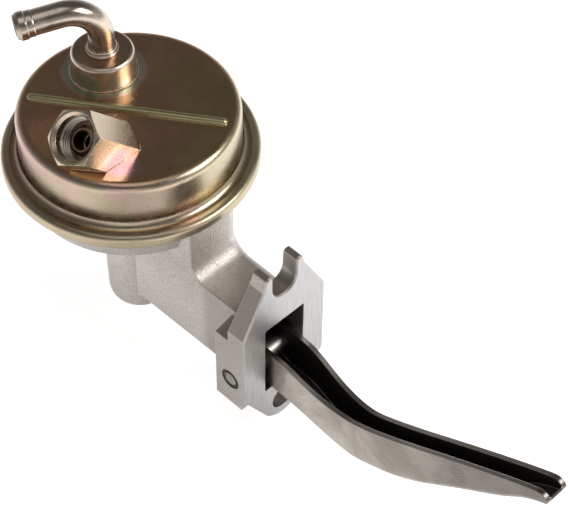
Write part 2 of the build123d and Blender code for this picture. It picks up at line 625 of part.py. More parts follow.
def valve_spring(side):
    """The light spring between a valve disc and the head of its stem."""
    low = VALVE_DECK_TOP_Z + VALVE_DISC_T
    return flipped(coil(STEM_HEAD_R - 0.1, 0.25, low, low + VALVE_SPRING_H, 3, (0, 0)), side)


def diaphragm():
    """The fabric and rubber disc, clamped at its rim and between the plates, with one convolution."""
    hole_r = ROD_R + DIAPHRAGM_HOLE_GAP
    inner_r = PLATE_DISC_R + 0.6
    outer_r = BOWL_R - BOWL_RIM - DIAPHRAGM_WALL_GAP
    middle_r = (inner_r + outer_r) / 2
    low = RIM_Z - CONVOLUTION_H
    top = RIM_Z
    t = DIAPHRAGM_T
    return turned([(hole_r, top - t), (inner_r - 0.4, top - t), (middle_r - 2.5, low), (middle_r + 2.5, low),
                   (outer_r, top - t), (CLAMP_R, top - t), (CLAMP_R, top), (outer_r - 0.3, top),
                   (middle_r + 2.2, low + t), (middle_r - 2.2, low + t), (inner_r, top), (hole_r, top)],
                  [0, 1.0, 2.0, 2.0, 1.0, 0, 0, 1.0, 1.4, 1.4, 1.0, 0])


def diaphragm_plate(face_z, direction):
    """A dished plate on one face of the diaphragm; its rim turns away from the rubber."""
    back = face_z + direction * PLATE_DISC_T
    lip = face_z + direction * (PLATE_DISC_T + PLATE_LIP_H)
    inner = PLATE_DISC_R - PLATE_DISC_T
    return turned([(ROD_R, face_z), (PLATE_DISC_R, face_z), (PLATE_DISC_R, lip), (inner, lip),
                   (inner, back), (ROD_R, back)], [0, 1.2, 0.3, 0.3, 0.6, 0])


def pull_rod():
    """The rod riveted over the plates, with a head under the fork."""
    rivet_low = RIM_Z + PLATE_DISC_T
    head_top = WASHER_TOP_Z - ROD_WASHER_T
    head_low = head_top - ROD_HEAD_T
    return turned([(0, head_low), (ROD_HEAD_R, head_low), (ROD_HEAD_R, head_top), (ROD_R, head_top),
                   (ROD_R, rivet_low), (RIVET_R, rivet_low), (RIVET_R, rivet_low + RIVET_H),
                   (0, rivet_low + RIVET_H)], [0, 1.2, 0.4, 0, 0, 0.2, 1.6, 0])


def rod_washer():
    """The hard washer between the fork and the head of the rod."""
    top = WASHER_TOP_Z
    low = top - ROD_WASHER_T
    return upright(ROD_WASHER_R, low, top) - upright(ROD_R, low - 1, top + 1)


def rod_seal():
    """The lip seal that keeps crankcase oil out of the bowl."""
    run_r = ROD_R + ROD_RUN
    low = GUIDE_WEB_TOP_Z
    return turned([(run_r, low), (7.6, low), (7.6, low + SEAL_H), (5.4, low + SEAL_H), (4.6, low + 1.2),
                   (4.2, low + SEAL_H), (run_r, low + SEAL_H)])


def seal_retainer():
    """The pressed cup over the seal; the diaphragm spring stands on it."""
    low = GUIDE_WEB_TOP_Z
    top = RETAINER_TOP_Z
    outer = TOWER_BORE_R - 0.1
    inner = outer - RETAINER_SHEET
    return turned([(ROD_R + 0.5, top - RETAINER_SHEET), (inner, top - RETAINER_SHEET), (inner, low),
                   (outer, low), (outer, top), (ROD_R + 0.5, top)], [0, 0, 0, 0, 0.8, 0])


def diaphragm_spring():
    """The spring that pushes the diaphragm up and so sets the fuel pressure."""
    high = BODY_TOP_Z - PLATE_DISC_T
    return coil(DIAPHRAGM_SPRING_R, DIAPHRAGM_SPRING_WIRE_R, RETAINER_TOP_Z, high, DIAPHRAGM_SPRING_TURNS)


def return_spring():
    """The spring in the foot of the tower that keeps the arm on the push rod."""
    return coil(RETURN_SPRING_R, RETURN_SPRING_WIRE_R, TOWER_FLOOR_Z, FORK_UNDER_Z, RETURN_SPRING_TURNS)


NODES = {
    "lower_body": lower_body,
    "pivot_pin": pivot_pin,
    "arm_bush": arm_bush,
    "rocker_arm": rocker_arm,
    "return_spring": return_spring,
    "rod_seal": rod_seal,
    "seal_retainer": seal_retainer,
    "diaphragm_spring": diaphragm_spring,
    "pull_rod": pull_rod,
    "rod_washer": rod_washer,
    "lower_diaphragm_plate": lambda: diaphragm_plate(BODY_TOP_Z, -1),
    "diaphragm": diaphragm,
    "upper_diaphragm_plate": lambda: diaphragm_plate(RIM_Z, 1),
    "valve_plate": valve_plate,
    "inlet_valve_seat": lambda: valve_seat(1),
    "inlet_valve_disc": lambda: valve_disc(1),
    "inlet_valve_stem": lambda: valve_stem(1),
    "inlet_valve_spring": lambda: valve_spring(1),
    "outlet_valve_seat": lambda: valve_seat(-1),
    "outlet_valve_disc": lambda: valve_disc(-1),
    "outlet_valve_stem": lambda: valve_stem(-1),
    "outlet_valve_spring": lambda: valve_spring(-1),
    "divider_gasket": divider_gasket,
    "top_cover": top_cover,
    "crimp_ring": crimp_ring,
    "inlet_cup": inlet_cup,
    "inlet_cup_braze": inlet_cup_braze,
    "inlet_elbow": inlet_elbow,
    "elbow_collar": elbow_collar,
    "outlet_fitting": outlet_fitting,
    "flare_seat": flare_seat,
}

os.makedirs("parts", exist_ok=True)
for name, make in NODES.items():
    export_step(make(), f"parts/{name}.step")
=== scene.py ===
import json
import math

import bpy
from mathutils import Matrix, Vector


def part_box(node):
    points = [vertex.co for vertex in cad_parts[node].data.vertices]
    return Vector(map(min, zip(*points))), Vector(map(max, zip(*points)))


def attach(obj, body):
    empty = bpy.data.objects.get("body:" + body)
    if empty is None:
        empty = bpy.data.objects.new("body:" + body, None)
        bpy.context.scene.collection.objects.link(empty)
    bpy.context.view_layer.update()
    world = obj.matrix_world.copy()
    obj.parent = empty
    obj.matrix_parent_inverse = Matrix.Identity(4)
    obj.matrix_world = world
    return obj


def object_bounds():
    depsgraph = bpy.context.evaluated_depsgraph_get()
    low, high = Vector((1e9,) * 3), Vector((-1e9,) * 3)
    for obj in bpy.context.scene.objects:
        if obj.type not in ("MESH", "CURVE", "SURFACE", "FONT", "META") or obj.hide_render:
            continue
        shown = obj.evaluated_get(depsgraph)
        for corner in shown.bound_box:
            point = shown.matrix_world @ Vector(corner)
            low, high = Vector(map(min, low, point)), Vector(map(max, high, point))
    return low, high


# Mechanical fuel pump: a die-cast body with a mounting flange, a yellow-zinc cover crimped on top,
# a bent inlet tube, a hexagon outlet, and a pressed steel rocker arm that reaches into the engine.
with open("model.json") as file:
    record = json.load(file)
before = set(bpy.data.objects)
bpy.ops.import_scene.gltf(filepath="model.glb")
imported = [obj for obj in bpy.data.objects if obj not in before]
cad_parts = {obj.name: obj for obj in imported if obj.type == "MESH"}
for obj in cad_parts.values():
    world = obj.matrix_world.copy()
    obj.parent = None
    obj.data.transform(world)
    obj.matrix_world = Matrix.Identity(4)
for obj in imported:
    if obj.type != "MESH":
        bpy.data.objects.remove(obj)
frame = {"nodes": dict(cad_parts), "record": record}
cad_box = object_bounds()
bpy.ops.object.select_all(action="DESELECT")


# LOWER BODY
# One aluminium die casting: clamp flange, bowl, spring tower, hollow neck and mounting flange.
# Its skin is fine-grained and satin from blasting, and only the mounting face is milled flat.
MM = 0.001


def put(tree, kind, sockets=None, **settings):
    """Adds one shader node, gives it its settings, and sets or joins its inputs."""
    node = tree.nodes.new(kind)
    for name, value in settings.items():
        setattr(node, name, value)
    for name, value in (sockets or {}).items():
        if isinstance(value, bpy.types.NodeSocket):
            tree.links.new(value, node.inputs[name])
        else:
            node.inputs[name].default_value = value
    return node


def math_node(tree, operation, *values):
    """One Math node's result."""
    sockets = dict(enumerate(values))
    return put(tree, "ShaderNodeMath", sockets, operation=operation).outputs[0]


def vector_node(tree, operation, *vectors):
    """One Vector Math node's result, where that is a number."""
    sockets = dict(enumerate(vectors))
    return put(tree, "ShaderNodeVectorMath", sockets, operation=operation).outputs["Value"]


def product(tree, first, *others):
    """Values multiplied together: where all of several masks meet, or a mask made weaker."""
    result = first
    for other in others:
        result = math_node(tree, "MULTIPLY", result, other)
    return result


def remap(tree, value, low, high, to_low=0.0, to_high=1.0):
    """A value stretched from one range to another, smooth at both ends."""
    sockets = {"Value": value, "From Min": low, "From Max": high,
               "To Min": to_low, "To Max": to_high}
    stretched = put(tree, "ShaderNodeMapRange", sockets, interpolation_type="SMOOTHSTEP")
    return stretched.outputs["Result"]


def noise(tree, place, scale, detail=2.0, roughness=0.5, distortion=0.0):
    """A noise value read at a place."""
    sockets = {"Vector": place, "Scale": scale, "Detail": detail, "Roughness": roughness,
               "Distortion": distortion}
    return put(tree, "ShaderNodeTexNoise", sockets).outputs["Fac"]


def object_place(tree, stretch=(1.0, 1.0, 1.0), centre=(0.0, 0.0, 0.0), turn=(0.0, 0.0, 0.0)):
    """The object's own coordinates, measured from a centre and stretched."""
    place = put(tree, "ShaderNodeTexCoord").outputs["Object"]
    sockets = {"Vector": place, "Location": centre, "Rotation": turn}
    place = put(tree, "ShaderNodeMapping", sockets, vector_type="TEXTURE").outputs[0]
    return put(tree, "ShaderNodeMapping", {"Vector": place, "Scale": stretch}).outputs[0]


def spot_on_piece(tree):
    """The X, Y and Z of a spot on the piece."""
    place = put(tree, "ShaderNodeTexCoord").outputs["Object"]
    return put(tree, "ShaderNodeSeparateXYZ", {0: place}).outputs


def facing_of(tree):
    """The X, Y and Z of the way that the surface faces."""
    normal = put(tree, "ShaderNodeNewGeometry").outputs["Normal"]
    return put(tree, "ShaderNodeSeparateXYZ", {0: normal}).outputs


def colour(red, green, blue):
    """A colour as a socket takes it."""
    return (red, green, blue, 1.0)


def blend_colour(tree, factor, first, second, way="MIX"):
    """Two colours mixed by a mask."""
    sockets = {0: factor, 6: first, 7: second}
    return put(tree, "ShaderNodeMix", sockets, data_type="RGBA", blend_type=way).outputs[2]


def tinted(tree, base, mask, strength, tone):
    """A colour with a tone laid over it where a mask is, at part strength."""
    return blend_colour(tree, product(tree, mask, strength), base, tone)


def darkened(tree, base, strength, shade):
    """A colour made darker by a shade under 1."""
    return blend_colour(tree, strength, base, shade, "MULTIPLY")


def clouded(tree, skin, dark, pale, low=0.3, high=0.7):
    """A colour that drifts between two tones in slow clouds."""
    return blend_colour(tree, remap(tree, skin["Cloud"], low, high), dark, pale)


def new_group(name, inputs, outputs):
    """An empty node group with its named inputs and outputs."""
    tree = bpy.data.node_groups.new(name, "ShaderNodeTree")
    for socket, kind, value in inputs:
        made = tree.interface.new_socket(socket, in_out="INPUT", socket_type=kind)
        made.default_value = value
    for socket, kind in outputs:
        tree.interface.new_socket(socket, in_out="OUTPUT", socket_type=kind)
    return tree, tree.nodes.new("NodeGroupInput").outputs, tree.nodes.new("NodeGroupOutput").inputs


def use_group(tree, group, sockets=None):
    """Places a node group in a material and returns its outputs."""
    return put(tree, "ShaderNodeGroup", sockets, node_tree=group).outputs


def new_material(name, uniform):
    """A material with one Principled shader and the values that are the same all over."""
    made = bpy.data.materials.new(name)
    made.use_nodes = True
    tree = made.node_tree
    tree.nodes.clear()
    shader = put(tree, "ShaderNodeBsdfPrincipled", uniform)
    put(tree, "ShaderNodeOutputMaterial", {"Surface": shader.outputs[0]})
    return made, tree, shader


def finish(tree, shader, base, dull, height, strength, distance, normal=None):
    """Joins a material's colour, roughness and relief to its shader."""
    sockets = {"Strength": strength, "Distance": distance, "Height": height}
    if normal is not None:
        sockets["Normal"] = normal
    bump = put(tree, "ShaderNodeBump", sockets)
    tree.links.new(base, shader.inputs["Base Color"])
    tree.links.new(dull, shader.inputs["Roughness"])
    tree.links.new(bump.outputs[0], shader.inputs["Normal"])


def dress(material, *node_names):
    """Gives CAD nodes their material."""
    for node_name in node_names:
        for slot in frame["nodes"][node_name].material_slots:
            slot.material = material


# Fine grain with slow clouds in it, for any blasted, cast or plated skin.
grain_group, taken, given = new_group(
    "fine_grain",
    [("Scale", "NodeSocketFloat", 3000.0), ("Cloud Scale", "NodeSocketFloat", 60.0)],
    [("Grain", "NodeSocketFloat"), ("Cloud", "NodeSocketFloat")])
place = object_place(grain_group)
grain = noise(grain_group, place, taken["Scale"], detail=3.0, roughness=0.65)
cloud = noise(grain_group, place, taken["Cloud Scale"], detail=4.0, roughness=0.6, distortion=0.3)
grain_group.links.new(grain, given["Grain"])
grain_group.links.new(cloud, given["Cloud"])

# Edges broken by tumbling and handling: a mask of the edges, for a painted highlight on them,
# and a normal that rounds them.
edge_group, taken, given = new_group(
    "broken_edges",
    [("Radius", "NodeSocketFloat", 0.4 * MM)],
    [("Edge", "NodeSocketFloat"), ("Normal", "NodeSocketVector")])
rounded = put(edge_group, "ShaderNodeBevel", {"Radius": taken["Radius"]}, samples=6).outputs[0]
flat_normal = put(edge_group, "ShaderNodeNewGeometry").outputs["Normal"]
likeness = vector_node(edge_group, "DOT_PRODUCT", rounded, flat_normal)
edge_group.links.new(remap(edge_group, likeness, 0.995, 0.80), given["Edge"])
edge_group.links.new(rounded, given["Normal"])

casting, tree, shader = new_material("aluminium_casting", {"Metallic": 0.85})
skin = use_group(tree, grain_group, {"Scale": 2300.0, "Cloud Scale": 70.0})
edges = use_group(tree, edge_group, {"Radius": 0.5 * MM})
normal = facing_of(tree)
where = spot_on_piece(tree)
off_centre = math_node(tree, "ABSOLUTE", where["Y"])
base = clouded(tree, skin, colour(0.660, 0.610, 0.575), colour(0.770, 0.705, 0.650), 0.32, 0.68)

# Painted light: the faces that look to -Y are painted paler low down, fading towards the bowl.
PALE_BELOW_Z, FADED_BY_Z = 26 * MM, 50 * MM
painted_light_low_side = product(tree, remap(tree, normal["Y"], -0.4, -0.9),
                   remap(tree, where["Z"], FADED_BY_Z, PALE_BELOW_Z))
base = tinted(tree, base, painted_light_low_side, 0.9, colour(0.96, 0.89, 0.83))

# Blasting leaves dark pits and bright specks.
base = darkened(tree, base, 0.8, remap(tree, skin["Grain"], 0.30, 0.62, 0.50, 1.0))
base = tinted(tree, base, remap(tree, skin["Grain"], 0.64, 0.74), 0.6, colour(0.96, 0.93, 0.90))

# The block and the flange are made darker, and painted shade darkens the flange where it faces up.
NECK_END_X, BLOCK_X = -33 * MM, -26 * MM
BLOCK_END_X, FLANGE_X = -16 * MM, -12 * MM
darker_block_and_flange = remap(tree, where["X"], NECK_END_X, BLOCK_X, 0.0, 0.60)
base = blend_colour(tree, darker_block_and_flange, base, colour(0.42, 0.385, 0.355))
painted_shade_facing_up = product(tree, remap(tree, normal["Z"], 0.25, 0.5),
                 remap(tree, where["X"], BLOCK_END_X, FLANGE_X))
base = tinted(tree, base, painted_shade_facing_up, 0.75, colour(0.24, 0.205, 0.180))

# On the milled mounting face, long strokes take the place of the blasted grain.
MILLED_FROM_X, MILLED_X = -0.9 * MM, -0.5 * MM
STROKE_STRETCH = (1.0, 1.0, 0.035)
milled = product(tree, remap(tree, normal["X"], 0.97, 0.995),
                 remap(tree, where["X"], MILLED_FROM_X, MILLED_X))
strokes = noise(tree, object_place(tree, STROKE_STRETCH), 2600.0, detail=3.0, roughness=0.6)
milled_tone = blend_colour(tree, remap(tree, strokes, 0.3, 0.7),
                           colour(0.39, 0.385, 0.385), colour(0.53, 0.52, 0.515))
base = tinted(tree, base, milled, 0.85, milled_tone)
# Painted highlight along the edges.
base = tinted(tree, base, edges["Edge"], 0.75, colour(0.93, 0.91, 0.89))

# Behind the window, painted shade darkens the hollow neck as far as the spring tower.
WINDOW_HALF_WIDTH = 9.85 * MM
WINDOW_FLOOR_Z, WINDOW_ROOF_Z = 10.8 * MM, 46.3 * MM
WINDOW_LIP_X, SHADE_FROM_X, NECK_BACK_X = -0.6 * MM, -1.2 * MM, -66 * MM
painted_shade_in_neck = product(
    tree,
    remap(tree, where["X"], WINDOW_LIP_X, SHADE_FROM_X),
    math_node(tree, "LESS_THAN", off_centre, WINDOW_HALF_WIDTH),
    math_node(tree, "GREATER_THAN", where["Z"], WINDOW_FLOOR_Z),
    math_node(tree, "GREATER_THAN", where["X"], NECK_BACK_X),
    math_node(tree, "LESS_THAN", where["Z"], WINDOW_ROOF_Z))
base = tinted(tree, base, painted_shade_in_neck, 0.62, colour(0.10, 0.085, 0.075))

# Staking the pin has darkened the block close round both of its ends.
PIN_PLACE = (-7.1 * MM, 0.0, 22.2 * MM)
STAKED_R, STAKE_FADE_R = 4.2 * MM, 4.7 * MM
BLOCK_SIDE_Y = 19.5 * MM
from_pin = vector_node(tree, "LENGTH", object_place(tree, (1.0, 0.0, 1.0), PIN_PLACE))
staked = product(tree, remap(tree, from_pin, STAKE_FADE_R, STAKED_R),
                 math_node(tree, "GREATER_THAN", off_centre, BLOCK_SIDE_Y))
base = tinted(tree, base, staked, 0.85, colour(0.11, 0.095, 0.085))

# A hair of flash stands where the two dies met, on the part of the body that faces the flange.
SEAM_Y = -2.1 * MM
SEAM_HALF_WIDTH, SEAM_FOOT = 0.14 * MM, 0.34 * MM
SEAM_BACK_X, SEAM_FRONT_X = -40 * MM, -30 * MM
off_seam = math_node(tree, "ABSOLUTE", math_node(tree, "SUBTRACT", where["Y"], SEAM_Y))
seam = product(
    tree,
    remap(tree, off_seam, SEAM_FOOT, SEAM_HALF_WIDTH),
    math_node(tree, "LESS_THAN", where["X"], SEAM_FRONT_X),
    math_node(tree, "GREATER_THAN", where["X"], SEAM_BACK_X),
    remap(tree, normal["X"], 0.3, 0.6))

dull = remap(tree, skin["Grain"], 0.3, 0.7, 0.52, 0.36)
dull = math_node(tree, "SUBTRACT", dull, product(tree, milled, 0.06))
blasted_relief = product(tree, skin["Grain"], math_node(tree, "SUBTRACT", 1.0, milled))
milled_relief = product(tree, strokes, milled, 0.5)
relief = math_node(tree, "ADD", math_node(tree, "ADD", blasted_relief, milled_relief), seam)
finish(tree, shader, base, dull, relief, strength=0.6, distance=0.22 * MM, normal=edges["Normal"])
dress(casting, "lower_body")


# PIVOT PIN AND BUSH
# The pin is hardened and ground, pressed through the block and staked, and the bush turns on it.
# Both are darker than the arm, with fine lines round them. The pull rod and its washer match.
ground, tree, shader = new_material("ground_steel", {"Metallic": 1.0})
skin = use_group(tree, grain_group, {"Scale": 2500.0, "Cloud Scale": 160.0})
edges = use_group(tree, edge_group, {"Radius": 0.3 * MM})
base = clouded(tree, skin, colour(0.34, 0.31, 0.29), colour(0.46, 0.43, 0.40))
# Painted highlight along the edges.
base = tinted(tree, base, edges["Edge"], 0.5, colour(0.60, 0.57, 0.55))
TURNING_STRETCH = (1.0, 0.05, 1.0)
turning = noise(tree, object_place(tree, TURNING_STRETCH), 3000.0)
dull = remap(tree, turning, 0.3, 0.7, 0.34, 0.48)
finish(tree, shader, base, dull, turning, strength=0.3, distance=0.04 * MM, normal=edges["Normal"])
dress(ground, "pivot_pin", "arm_bush", "pull_rod", "rod_washer")


# ROCKER ARM
# One steel strip, blanked, pressed to a channel and darker towards its tip. The walls are satin
# with faint clouds from the press; painted shade darkens their shear-cut tops and their inside.
arm_steel, tree, shader = new_material("pressed_arm_steel", {"Metallic": 1.0})
skin = use_group(tree, grain_group, {"Scale": 2800.0, "Cloud Scale": 45.0})
edges = use_group(tree, edge_group, {"Radius": 0.5 * MM})
where = spot_on_piece(tree)
normal = facing_of(tree)
base = clouded(tree, skin, colour(0.46, 0.41, 0.36), colour(0.72, 0.65, 0.59), 0.35, 0.66)
base = darkened(tree, base, 0.5, remap(tree, skin["Grain"], 0.3, 0.6, 0.7, 1.0))
# The arm is made darker towards its tip.
DARKENING_FROM_X, DARKEST_FROM_X = 30 * MM, 100 * MM
darker_to_tip = remap(tree, where["X"], DARKENING_FROM_X, DARKEST_FROM_X, 0.0, 0.87)
base = blend_colour(tree, darker_to_tip, base, colour(0.145, 0.126, 0.110))
ROLLING_STRETCH = (0.08, 1.0, 1.0)
rolling = noise(tree, object_place(tree, ROLLING_STRETCH), 1800.0, detail=3.0)
base = darkened(tree, base, 0.35, remap(tree, rolling, 0.3, 0.7, 0.6, 1.0))

# A small patch of slanting scratches on both walls, not far from the tip.
SCUFF_PLACE = (88.5 * MM, 0.0, 43.0 * MM)
SCUFF_TURN = (0.0, math.radians(40), 0.0)
SCUFF_R, SCUFF_FADE_R = 2.6 * MM, 4.8 * MM
scuff_place = object_place(tree, (1.0, 0.0, 1.0), SCUFF_PLACE, SCUFF_TURN)
wave = {"Vector": scuff_place, "Scale": 330.0, "Distortion": 2.5, "Detail": 2.0}
scratches = put(tree, "ShaderNodeTexWave", wave).outputs["Fac"]
from_scuff = vector_node(tree, "LENGTH", scuff_place)
scuff = product(tree, remap(tree, from_scuff, SCUFF_FADE_R, SCUFF_R),
                remap(tree, scratches, 0.45, 0.8))
base = tinted(tree, base, scuff, 0.55, colour(0.06, 0.052, 0.046))

# The inside is what faces the middle plane, and the floor between walls that draw together.
WIDE_X, NARROW_X = 8 * MM, 44 * MM
WIDE_HALF, NARROW_HALF = 5.2 * MM, 2.6 * MM
inwardness = product(tree, normal["Y"], math_node(tree, "SIGN", where["Y"]))
inner_wall = remap(tree, inwardness, -0.15, -0.5)
half_width = remap(tree, where["X"], WIDE_X, NARROW_X, WIDE_HALF, NARROW_HALF)
between = math_node(tree, "LESS_THAN", math_node(tree, "ABSOLUTE", where["Y"]), half_width)
channel_floor = product(tree, remap(tree, normal["Z"], 0.1, 0.4), between)
inside = math_node(tree, "MAXIMUM", inner_wall, channel_floor)
# Painted shade: the tops of the walls, which face up, are painted darker.
painted_shade_on_tops = product(tree, remap(tree, normal["Z"], 0.55, 0.80),
                  math_node(tree, "SUBTRACT", 1.0, between))
base = tinted(tree, base, painted_shade_on_tops, 0.70, colour(0.17, 0.148, 0.130))
# Painted highlight along the edges.
base = tinted(tree, base, edges["Edge"], 0.6, colour(0.64, 0.60, 0.56))
# Painted shade: the inside of the channel is painted near black.
base = blend_colour(tree, inside, base, colour(0.032, 0.024, 0.019))
tree.links.new(math_node(tree, "MULTIPLY_ADD", inside, -0.75, 1.0), shader.inputs["Metallic"])
dull = remap(tree, skin["Cloud"], 0.35, 0.7, 0.36, 0.26)
dull = math_node(tree, "MULTIPLY_ADD", inside, 0.20, dull)
relief = math_node(tree, "ADD", product(tree, skin["Grain"], 0.5), rolling)
finish(tree, shader, base, dull, relief, strength=0.25, distance=0.08 * MM, normal=edges["Normal"])
dress(arm_steel, "rocker_arm")


# SPRINGS
# Oil-tempered wire, coiled and ground: the return spring under the arm, the diaphragm spring,
# and the two light springs of the valves.
def plain_finish(name, uniform, grain, clouds, tones, shine, strength, distance, edge_highlight=None):
    """Two clouded tones with a fine grain in the shine and the relief, and a painted highlight on
    the edges.
    """
    made, tree, shader = new_material(name, uniform)
    skin = use_group(tree, grain_group, {"Scale": grain, "Cloud Scale": clouds})
    base = clouded(tree, skin, *tones)
    normal = None
    if edge_highlight:
        edges = use_group(tree, edge_group, {"Radius": 0.3 * MM})
        # Painted highlight along the edges.
        base = tinted(tree, base, edges["Edge"], 0.5, edge_highlight)
        normal = edges["Normal"]
    dull = remap(tree, skin["Grain"], 0.3, 0.7, *shine)
    finish(tree, shader, base, dull, skin["Grain"], strength, distance, normal)
    return made


wire = plain_finish(
    "tempered_wire", {"Metallic": 1.0}, grain=2600.0, clouds=220.0,
    tones=(colour(0.16, 0.14, 0.13), colour(0.33, 0.30, 0.27)),
    shine=(0.26, 0.42), strength=0.3, distance=0.04 * MM)
dress(wire, "return_spring", "diaphragm_spring", "inlet_valve_spring", "outlet_valve_spring")


# DIAPHRAGM PLATES AND SEAL RETAINER
# Pressed from thin steel and zinc plated: a cool, slightly blue bright skin with cloudy spots.
# The plates clamp the diaphragm on the rod, and the retainer holds the rod's seal.
zinc = plain_finish(
    "bright_zinc_plate", {"Metallic": 1.0}, grain=1800.0, clouds=120.0,
    tones=(colour(0.50, 0.52, 0.55), colour(0.66, 0.67, 0.68)),
    shine=(0.24, 0.38), strength=0.25, distance=0.05 * MM, edge_highlight=colour(0.80, 0.80, 0.80))
dress(zinc, "upper_diaphragm_plate", "lower_diaphragm_plate", "seal_retainer")


# DIAPHRAGM, SEAL, GASKET AND VALVE DISCS
# The diaphragm is woven fabric with rubber on both faces, and its threads show through the skin.
# The seal, the gasket and the discs are moulded from the same dark rubber, without the fabric.
rubber = plain_finish(
    "moulded_rubber", {"Specular IOR Level": 0.35}, grain=2400.0, clouds=140.0,
    tones=(colour(0.018, 0.018, 0.018), colour(0.036, 0.035, 0.034)),
    shine=(0.52, 0.70), strength=0.4, distance=0.05 * MM)
dress(rubber, "rod_seal", "divider_gasket", "inlet_valve_disc", "outlet_valve_disc")

cloth, tree, shader = new_material("rubber_on_fabric", {"Specular IOR Level": 0.35})
skin = use_group(tree, grain_group, {"Scale": 1500.0, "Cloud Scale": 90.0})
threads = []
for direction in ("X", "Y"):
    wave = {"Vector": object_place(tree), "Scale": 260.0, "Distortion": 0.6}
    rows = put(tree, "ShaderNodeTexWave", wave, wave_type="BANDS", bands_direction=direction)
    threads.append(rows.outputs["Fac"])
weave = math_node(tree, "MAXIMUM", *threads)
base = clouded(tree, skin, colour(0.030, 0.026, 0.022), colour(0.060, 0.052, 0.045))
base = darkened(tree, base, 0.4, remap(tree, weave, 0.2, 0.9, 0.5, 1.0))
dull = remap(tree, weave, 0.2, 0.9, 0.72, 0.56)
finish(tree, shader, base, dull, weave, strength=0.5, distance=0.10 * MM)
dress(cloth, "diaphragm")


# VALVE PLATE AND VALVES
# The valve plate is a plain die casting under the cover, with the body's finish.
# The seats and stems pressed into it are turned from brass.
dress(casting, "valve_plate")
brass = plain_finish(
    "turned_brass", {"Metallic": 1.0}, grain=2200.0, clouds=150.0,
    tones=(colour(0.55, 0.37, 0.16), colour(0.72, 0.52, 0.25)),
    shine=(0.22, 0.36), strength=0.2, distance=0.04 * MM, edge_highlight=colour(0.86, 0.70, 0.42))
dress(brass, "inlet_valve_seat", "outlet_valve_seat", "inlet_valve_stem", "outlet_valve_stem")


# TOP COVER AND CRIMP RING
# Both are deep drawn from thin steel, zinc plated and yellow passivated: olive gold that drifts to
# pink and to green, with a halo where brazing heated the cover. The ring is rolled on last.
plating_group, taken, given = new_group(
    "yellow_passivation",
    [("Gold", "NodeSocketColor", colour(0.55, 0.405, 0.325)),
     ("Rose", "NodeSocketColor", colour(0.62, 0.395, 0.360)),
     ("Green", "NodeSocketColor", colour(0.46, 0.435, 0.28)),
     ("Drift", "NodeSocketFloat", 0.7)],
    [("Colour", "NodeSocketColor"), ("Roughness", "NodeSocketFloat"), ("Height", "NodeSocketFloat")])
tree = plating_group
place = object_place(tree)
place_of_green = object_place(tree, centre=(0.3, 0.1, 0.2))
rose = remap(tree, noise(tree, place, 26.0, distortion=0.6), 0.48, 0.66)
green = remap(tree, noise(tree, place_of_green, 22.0, distortion=0.5), 0.50, 0.68)
film = tinted(tree, taken["Gold"], rose, taken["Drift"], taken["Rose"])
film = tinted(tree, film, green, taken["Drift"], taken["Green"])
fine = noise(tree, place, 1900.0, detail=3.0, roughness=0.6)
film = darkened(tree, film, 0.5, remap(tree, fine, 0.28, 0.60, 0.72, 1.0))
spots = remap(tree, noise(tree, place, 330.0, detail=1.0), 0.74, 0.78)
film = tinted(tree, film, spots, 0.25, colour(0.16, 0.12, 0.09))
cloud = noise(tree, place, 90.0, detail=4.0, roughness=0.6)
tree.links.new(film, given["Colour"])
tree.links.new(remap(tree, cloud, 0.35, 0.7, 0.23, 0.33), given["Roughness"])
tree.links.new(math_node(tree, "ADD", fine, product(tree, cloud, 2.0)), given["Height"])


def colour_steps(tree, value, steps):
    """A colour read off a row of steps by a value from 0 to 1."""
    ramp = put(tree, "ShaderNodeValToRGB", {"Fac": value})
    stops = ramp.color_ramp.elements
    for number, (at, tint) in enumerate(steps):
        stop = stops[number] if number < 2 else stops.new(at)
        stop.position = at
        stop.color = tint
    return ramp.outputs["Color"]


# The colours that heat draws in the film, as ragged rings round a brazed joint.
halo_group, taken, given = new_group(
    "brazing_halo",
    [("Colour", "NodeSocketColor", colour(0.6, 0.5, 0.35)),
     ("Centre", "NodeSocketVector", (0.0, 0.0, 0.0)),
     ("Inner", "NodeSocketFloat", 12 * MM),
     ("Outer", "NodeSocketFloat", 20 * MM)],
    [("Colour", "NodeSocketColor")])
tree = halo_group
HALO_RAGGED = 4 * MM
place = put(tree, "ShaderNodeTexCoord").outputs["Object"]
gap = vector_node(tree, "DISTANCE", place, taken["Centre"])
gap = math_node(tree, "SUBTRACT", gap, HALO_RAGGED / 2)
gap = math_node(tree, "MULTIPLY_ADD", noise(tree, place, 120.0), HALO_RAGGED, gap)
reach = remap(tree, gap, taken["Inner"], taken["Outer"])
rings = colour_steps(tree, reach, [
    (0.00, colour(0.44, 0.58, 0.46)), (0.35, colour(0.50, 0.56, 0.40)),
    (0.65, colour(0.66, 0.44, 0.42)), (1.00, colour(0.60, 0.48, 0.34))])
strength = remap(tree, reach, 0.75, 1.0, 0.75, 0.0)
tree.links.new(blend_colour(tree, strength, taken["Colour"], rings), given["Colour"])


